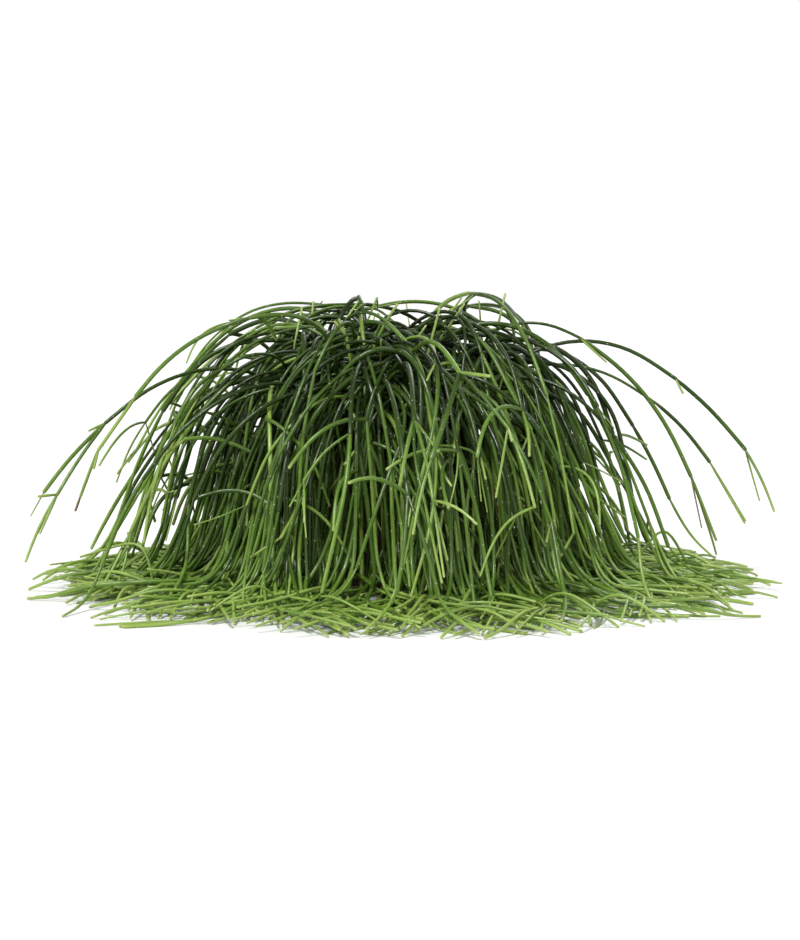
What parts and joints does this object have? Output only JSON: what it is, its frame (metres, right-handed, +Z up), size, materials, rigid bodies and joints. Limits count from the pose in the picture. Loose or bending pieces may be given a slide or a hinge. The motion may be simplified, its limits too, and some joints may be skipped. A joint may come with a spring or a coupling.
{
  "type": "mistletoe cactus",
  "caption": "Mistletoe cactus: slender round green stems fork at their joints, arch out of a plain plastic pot on every side, hang down and lie along the surface it stands on.",
  "frame": {"origin": "centre of the underside of the pot", "axes": "+Z up, -Y the side that faces the camera in the picture, +X to the right of that view"},
  "size_m": [0.6356, 0.6544, 0.2412],
  "materials": {
    "pot_plastic": "satin",
    "potting_mix": "matte",
    "stem_green": "satin"
  },
  "bodies": {
    "root": {"pot": "pot_plastic", "potting_mix": "potting_mix", "spray_01": "stem_green", "spray_02": "stem_green", "spray_03": "stem_green", "spray_04": "stem_green", "spray_05": "stem_green", "spray_06": "stem_green", "spray_07": "stem_green", "spray_08": "stem_green", "spray_09": "stem_green", "spray_10": "stem_green", "spray_11": "stem_green", "spray_12": "stem_green", "spray_13": "stem_green", "spray_14": "stem_green", "spray_15": "stem_green", "spray_16": "stem_green", "spray_17": "stem_green", "spray_18": "stem_green", "spray_19": "stem_green", "spray_20": "stem_green", "spray_21": "stem_green", "spray_22": "stem_green", "spray_23": "stem_green", "spray_24": "stem_green", "spray_25": "stem_green", "spray_26": "stem_green", "spray_27": "stem_green", "spray_28": "stem_green", "spray_29": "stem_green", "spray_30": "stem_green", "spray_31": "stem_green", "spray_32": "stem_green", "spray_33": "stem_green", "spray_34": "stem_green", "spray_35": "stem_green", "spray_36": "stem_green", "spray_37": "stem_green", "spray_38": "stem_green", "spray_39": "stem_green", "spray_40": "stem_green", "spray_41": "stem_green", "spray_42": "stem_green"}
  },
  "joints": []
}
